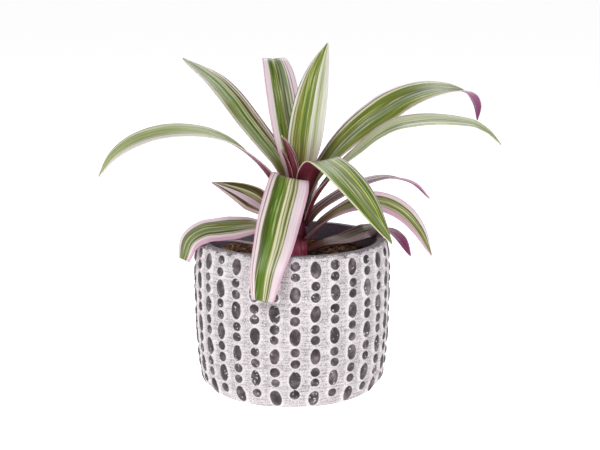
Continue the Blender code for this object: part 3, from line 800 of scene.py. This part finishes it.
def striped_leaf_face(leaf):
    """The upper face of a variegated leaf: a waxy cuticle over stripes that follow the veins.

    The eye gets green, cream and pink bands with fine streaks in them, a satin shine, and a dull red
    flush at the foot.
    """
    made, tree, shader = new_material("variegated_leaf_face_" + leaf.name)
    place, split, streak = leaf_coordinates(tree)
    slow = add_node(tree, "VectorMath", {0: place, 1: (3.0, per(45.5), 0.0)}, operation="MULTIPLY")
    wander = add_node(tree, "TexNoise", {"Vector": slow.outputs[0], "Scale": 1.0, "Detail": 2.0})
    shift = add_node(tree, "MapRange", {"Value": wander.outputs["Fac"], "To Min": 0.47,
                                        "To Max": 0.53})
    share = add_node(tree, "Math", {0: split.outputs["X"], 1: 0.5, 2: shift.outputs[0]},
                     operation="MULTIPLY_ADD")
    bands = add_node(tree, "ValToRGB", {"Fac": share.outputs[0]})
    set_ramp(bands.color_ramp, ramp_stops(leaf.stripes))
    depth = add_node(tree, "MapRange", {"Value": streak, "From Min": 0.36, "From Max": 0.62,
                                        "To Min": 0.58, "To Max": 1.16})
    # Pale bands hold little pigment, so the veins hardly show in them
    tint = add_node(tree, "SeparateColor", {"Color": bands.outputs["Color"]})
    pigment = add_node(tree, "MapRange", {"Value": tint.outputs["Red"], "From Min": 0.30,
                                          "From Max": 0.62, "To Min": 1.0, "To Max": 0.3})
    offset = add_node(tree, "Math", {0: depth.outputs[0], 1: 1.0}, operation="SUBTRACT")
    shade = add_node(tree, "Math", {0: offset.outputs[0], 1: pigment.outputs[0], 2: 1.0},
                     operation="MULTIPLY_ADD")
    streaked = add_node(tree, "VectorMath", {0: bands.outputs["Color"], "Scale": shade.outputs[0]},
                        operation="SCALE")
    # Here and there a vein has lost its green
    lost = add_node(tree, "MapRange", {"Value": streak, "From Min": 0.56, "From Max": 0.66,
                                       "To Min": 0.0, "To Max": 0.55})
    bleached = add_node(tree, "Math", {0: lost.outputs[0], 1: pigment.outputs[0]},
                        operation="MULTIPLY")
    veined = add_node(tree, "Mix", {0: bleached.outputs[0], 6: streaked.outputs[0],
                                    7: linear(TONES["cream"])}, data_type="RGBA")
    flush = add_node(tree, "MapRange", {"Value": split.outputs["Y"], "From Min": 8.0 * MM,
                                        "From Max": 45.0 * MM, "To Min": 0.62, "To Max": 0.0},
                     interpolation_type="SMOOTHSTEP")
    colour = add_node(tree, "Mix", {0: flush.outputs[0], 6: veined.outputs[2],
                                    7: linear("7c4a3c")}, data_type="RGBA")
    tree.links.new(colour.outputs[2], shader.inputs["Base Color"])
    rough = add_node(tree, "MapRange", {"Value": streak, "To Min": 0.22, "To Max": 0.42})
    tree.links.new(rough.outputs[0], shader.inputs["Roughness"])
    bump = add_node(tree, "Bump", {"Height": streak, "Strength": 0.35, "Distance": 0.3 * MM})
    tree.links.new(bump.outputs[0], shader.inputs["Normal"])
    shader.inputs["Specular IOR Level"].default_value = 0.33
    shader.inputs["IOR"].default_value = 1.45
    return made


def pale_back_stops(stripes):
    """Where broad pink stripes show through to the back, as a ramp's stops from 0 to 1."""
    ends = [place for place, _ in stripes[1:]] + [1.0]
    soft, broad, stops = 0.01, 0.08, []
    for (start, tone), end in zip(stripes, ends):
        pale = 0.75 if tone in ("pink", "blush") and end - start > broad else 0.0
        if stops and pale != stops[-1][1][0]:
            stops.append((start - soft, stops[-1][1]))
        if not stops or pale != stops[-1][1][0]:
            stops.append((start + soft, (pale, pale, pale, 1.0)))
    return stops


def purple_leaf_back(leaf, settings):
    """The underside: magenta-purple towards the tip and a darker red-maroon at the foot, partly the
    leaf's own red and partly painted shade where the feet lie in the crown; under a satin skin, with a
    pale margin and the face's broad pink stripes showing through."""
    made, tree, shader = new_material("purple_leaf_back_" + leaf.name)
    place, split, streak = leaf_coordinates(tree)
    # Partly painted shade: the feet, which lie in the crown's shade, are coloured a darker maroon than
    # the purple towards the tip
    along = add_node(tree, "MapRange", {"Value": split.outputs["Y"], "From Min": 25.0 * MM,
                                        "From Max": 85.0 * MM})
    ground = add_node(tree, "Mix", {0: along.outputs[0], 6: linear("6e2431"),
                                    7: (*settings.underside, 1.0)}, data_type="RGBA")
    share = add_node(tree, "Math", {0: split.outputs["X"], 1: 0.5, 2: 0.5},
                     operation="MULTIPLY_ADD")
    shown = add_node(tree, "ValToRGB", {"Fac": share.outputs[0]})
    set_ramp(shown.color_ramp, pale_back_stops(leaf.stripes))
    bands = add_node(tree, "Mix", {0: shown.outputs["Color"], 6: ground.outputs[2],
                                   7: linear("c893ae")}, data_type="RGBA")
    side = add_node(tree, "Math", {0: split.outputs["X"]}, operation="ABSOLUTE")
    rim = add_node(tree, "MapRange", {"Value": side.outputs[0], "From Min": 0.93,
                                      "From Max": 0.98})
    edged = add_node(tree, "Mix", {0: rim.outputs[0], 6: bands.outputs[2], 7: linear("d9b4bf")},
                     data_type="RGBA")
    depth = add_node(tree, "MapRange", {"Value": streak, "From Min": 0.25, "From Max": 0.75,
                                        "To Min": 0.66, "To Max": 1.26})
    streaked = add_node(tree, "VectorMath", {0: edged.outputs[2], "Scale": depth.outputs[0]},
                        operation="SCALE")
    tree.links.new(streaked.outputs[0], shader.inputs["Base Color"])
    bump = add_node(tree, "Bump", {"Height": streak, "Strength": 0.4, "Distance": 0.3 * MM})
    tree.links.new(bump.outputs[0], shader.inputs["Normal"])
    shader.inputs["Roughness"].default_value = 0.42
    shader.inputs["IOR"].default_value = 1.45
    return made


def leaf_piece(leaf, piece_name, node, slot, settings):
    """Lay a grid on the blade's surface and give it a thickness that thins at the margins."""
    points, place = blade(leaf, LEAF_STATIONS, LEAF_STRIPS, settings.ripple)
    mesh = bpy.data.meshes.new(piece_name)
    grid = bmesh.new()
    layer = grid.verts.layers.float_vector.new("blade")
    bmesh.ops.create_grid(grid, x_segments=LEAF_STRIPS, y_segments=LEAF_STATIONS - 1, size=1.0)
    bmesh.ops.reverse_faces(grid, faces=grid.faces)
    thin = []
    for vert in grid.verts:
        station = round((vert.co.y + 1.0) / 2.0 * (LEAF_STATIONS - 1))
        strip = round((vert.co.x + 1.0) / 2.0 * LEAF_STRIPS)
        vert.co = points[station, strip]
        vert[layer] = place[station, strip]
        thin.append(1.0 - THIN_MARGIN * abs(place[station, strip, 0]) ** 3)
    grid.to_mesh(mesh)
    grid.free()
    mesh.shade_smooth()
    mesh.materials.append(striped_leaf_face(leaf))
    mesh.materials.append(purple_leaf_back(leaf, settings))
    piece = add_piece(piece_name, mesh, slot, node)
    group = piece.vertex_groups.new(name="thickness")
    for index, weight in enumerate(thin):
        group.add([index], weight, "REPLACE")
    solid = piece.modifiers.new("thickness", "SOLIDIFY")
    solid.thickness = settings.thickness
    solid.offset = 0.0
    solid.vertex_group = group.name
    solid.material_offset = 1
    low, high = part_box(node)
    for axis in range(3):
        gap = max(low[axis] - points[..., axis].min(), points[..., axis].max() - high[axis])
        if gap > BOX_SLACK:
            raise ValueError(f"{piece_name} leaves the box of {node} by {gap / MM:.1f} mm")
    return piece


class BOATLILY_OT_leaves(bpy.types.Operator):
    """Grow the striped leaves, each clasping the stem with its own foot"""
    bl_idname = "boatlily.leaves"
    bl_label = "Striped leaves"

    def execute(self, context):
        settings = context.scene.boatlily_leaves
        for leaf in LEAVES:
            leaf_piece(leaf, "blade_" + leaf.name, "leaf_" + leaf.name, "striped_leaf", settings)
        return {"FINISHED"}


class BOATLILY_OT_spears(bpy.types.Operator):
    """Roll the two young leaves at the crown, which show only their purple backs"""
    bl_idname = "boatlily.spears"
    bl_label = "Young spears"

    def execute(self, context):
        settings = context.scene.boatlily_leaves
        for leaf in SPEARS:
            leaf_piece(leaf, "rolled_" + leaf.name, "spear_" + leaf.name, "young_purple_leaf",
                       settings)
        return {"FINISHED"}


def magenta_stem():
    """The juicy stem: magenta skin that turns a darker magenta from 95 mm up."""
    made, tree, shader = new_material("magenta_stem_skin")
    place = add_node(tree, "TexCoord").outputs["Object"]
    # Fibres are 1.1 mm apart and hold their line for some 8 mm
    tall = add_node(tree, "VectorMath", {0: place, 1: (per(1.11), per(1.11), per(8.3))},
                    operation="MULTIPLY")
    fibre = add_node(tree, "TexNoise", {"Vector": tall.outputs[0], "Scale": 1.0, "Detail": 3.0})
    colour = add_node(tree, "ValToRGB", {"Fac": fibre.outputs["Fac"]})
    set_ramp(colour.color_ramp, ((0.28, linear("a03656")), (0.5, linear("cc5876")),
                                 (0.72, linear("e093a6"))))
    up = add_node(tree, "SeparateXYZ", {0: place})
    # The skin darkens from 95 mm up to 102 mm and stays dark above
    darker_above = add_node(tree, "MapRange", {"Value": up.outputs["Z"], "From Min": 95.0 * MM,
                                       "From Max": 102.0 * MM, "To Min": 0.0, "To Max": 0.9})
    whole = add_node(tree, "Mix", {0: darker_above.outputs[0], 6: colour.outputs["Color"],
                                   7: linear("6a1c38")}, data_type="RGBA")
    tree.links.new(whole.outputs[2], shader.inputs["Base Color"])
    bump = add_node(tree, "Bump", {"Height": fibre.outputs["Fac"], "Strength": 0.4,
                                   "Distance": 0.4 * MM})
    tree.links.new(bump.outputs[0], shader.inputs["Normal"])
    shader.inputs["Roughness"].default_value = 0.45
    shader.inputs["Subsurface Weight"].default_value = 0.1
    shader.inputs["Subsurface Radius"].default_value = (1.0, 0.3, 0.4)
    shader.inputs["Subsurface Scale"].default_value = 1.5 * MM
    return made


STEM_AROUND, STEM_ROWS = 40, 110
SCAR_HEIGHT, SCAR_PITCH = 0.25, 9.74  # rings left by old leaves, in mm
SKIN_INSET, SKIN_UNEVEN = 0.35, 0.15  # in mm


class BOATLILY_OT_stem(bpy.types.Operator):
    """Raise the short stem with its rings of leaf scars"""
    bl_idname = "boatlily.stem"
    bl_label = "Stem"

    def execute(self, context):
        angles = np.arange(STEM_AROUND) * 2.0 * math.pi / STEM_AROUND
        heights = np.linspace(STEM_LOW.z, STEM_HIGH.z, STEM_ROWS) / MM
        rings = SCAR_HEIGHT * np.abs(np.sin(heights * math.pi / SCAR_PITCH)) ** 6
        radius = (stem_radius(heights) - SKIN_INSET + rings)[:, None] + 0.0 * angles
        radius += SKIN_UNEVEN * wave_noise(np.cos(angles)[None, :] * 2.0 + 0.0 * radius,
                                           np.sin(angles)[None, :] * 2.0 + 0.0 * radius,
                                           heights[:, None] * 0.2 + 0.0 * radius, 4.0)
        radius[0], radius[-1] = 0.0, 0.0
        shape = np.stack((np.cos(angles) * radius, np.sin(angles) * radius,
                          heights[:, None] + 0.0 * radius), axis=-1) * MM
        shape[..., 0] += STEM_X
        mesh = tube_mesh("stem", shape)
        mesh.flip_normals()
        mesh.materials.append(magenta_stem())
        add_piece("stem", mesh, "magenta_stem", "plant_stem")
        return {"FINISHED"}


# The stage

CAMERA_TARGET = Vector((5.3 * MM, 0.0, 108.5 * MM))
CAMERA_DISTANCE = 0.94
CAMERA_ELEVATION = math.radians(11.0)
FLOOR_RADIUS = 14.0
# Each soft light's place and width in metres, and its power as a share of the key light's
LAMPS = {
    "key": ((-0.55, -1.1, 1.25), 0.7, 1.0),
    "fill": ((1.1, -0.8, 0.7), 1.0, 0.3),
    "back": ((0.3, 1.2, 1.2), 0.9, 0.5),
}


def soft_light(name, place, size, power):
    """A large square lamp that faces the plant."""
    lamp = bpy.data.lights.new(name, "AREA")
    lamp.size = size
    lamp.energy = power
    light = bpy.data.objects.new(name, lamp)
    bpy.context.scene.collection.objects.link(light)
    light.location = Vector(place)
    light.rotation_euler = (CAMERA_TARGET - light.location).to_track_quat("-Z", "Y").to_euler()


class BOATLILY_OT_stage(bpy.types.Operator):
    """Lay the pale floor, hang the soft lights and stand the camera"""
    bl_idname = "boatlily.stage"
    bl_label = "Floor, light and camera"

    def execute(self, context):
        settings = context.scene.boatlily_stage
        mesh = bpy.data.meshes.new("floor")
        disc = bmesh.new()
        bmesh.ops.create_circle(disc, cap_ends=True, segments=96, radius=FLOOR_RADIUS)
        disc.to_mesh(mesh)
        disc.free()
        # Matt white acrylic lit from below, so that shadows on it stay faint
        made, tree, shader = new_material("white_light_table")
        shader.inputs["Base Color"].default_value = (*settings.floor, 1.0)
        shader.inputs["Roughness"].default_value = 0.9
        shader.inputs["Specular IOR Level"].default_value = 0.1
        shader.inputs["Emission Color"].default_value = (1.0, 1.0, 1.0, 1.0)
        shader.inputs["Emission Strength"].default_value = settings.glow
        mesh.materials.append(made)
        floor = bpy.data.objects.new("floor", mesh)
        context.scene.collection.objects.link(floor)

        for name, (place, width, share) in LAMPS.items():
            soft_light(name, place, width, settings.key * share)
        world = bpy.data.worlds.new("studio")
        world.use_nodes = True
        sky = world.node_tree.nodes["Background"]
        sky.inputs["Color"].default_value = (1.0, 1.0, 1.0, 1.0)
        # The lens sees plain white behind the plant, the plant is lit by a softer sky
        seen = add_node(world.node_tree, "LightPath").outputs["Is Camera Ray"]
        strength = add_node(world.node_tree, "MapRange", {"Value": seen, "To Min": settings.sky,
                                                          "To Max": 1.0})
        world.node_tree.links.new(strength.outputs[0], sky.inputs["Strength"])
        context.scene.world = world
        context.scene.view_settings.view_transform = "Standard"

        lens = bpy.data.cameras.new("camera")
        lens.lens = 85.0
        lens.sensor_width = 36.0
        camera = bpy.data.objects.new("camera", lens)
        context.scene.collection.objects.link(camera)
        towards = Vector((0.0, math.cos(CAMERA_ELEVATION), -math.sin(CAMERA_ELEVATION)))
        camera.location = CAMERA_TARGET - CAMERA_DISTANCE * towards
        camera.rotation_euler = (math.pi / 2.0 - CAMERA_ELEVATION, 0.0, 0.0)
        context.scene.camera = camera
        return {"FINISHED"}


class BOATLILY_PT_panel(bpy.types.Panel):
    """Lists the steps and the settings"""
    bl_idname = "BOATLILY_PT_panel"
    bl_label = "Boat Lily"
    bl_space_type = "VIEW_3D"
    bl_region_type = "UI"
    bl_category = "Boat Lily"

    def draw(self, context):
        for step in STEPS:
            self.layout.operator(step.bl_idname)
        for group in GROUPS:
            box = self.layout.box()
            for name in GROUPS[group].__annotations__:
                box.prop(getattr(context.scene, group), name)


GROUPS = {
    "boatlily_pot": PotSettings,
    "boatlily_compost": CompostSettings,
    "boatlily_leaves": LeafSettings,
    "boatlily_stage": StageSettings,
}
STEPS = (BOATLILY_OT_pot, BOATLILY_OT_compost, BOATLILY_OT_stem, BOATLILY_OT_leaves,
         BOATLILY_OT_spears, BOATLILY_OT_stage)


def register():
    """Add the settings, the operators and the panel."""
    for name, group in GROUPS.items():
        bpy.utils.register_class(group)
        setattr(bpy.types.Scene, name, PointerProperty(type=group))
    for step in (*STEPS, BOATLILY_PT_panel):
        bpy.utils.register_class(step)


def unregister():
    """Take them away again."""
    for step in (BOATLILY_PT_panel, *reversed(STEPS)):
        bpy.utils.unregister_class(step)
    for name, group in GROUPS.items():
        delattr(bpy.types.Scene, name)
        bpy.utils.unregister_class(group)


def main():
    """Make every piece in order."""
    register()
    bpy.ops.boatlily.pot()
    bpy.ops.boatlily.compost()
    bpy.ops.boatlily.stem()
    bpy.ops.boatlily.leaves()
    bpy.ops.boatlily.spears()
    bpy.ops.boatlily.stage()


if __name__ == "__main__":
    main()
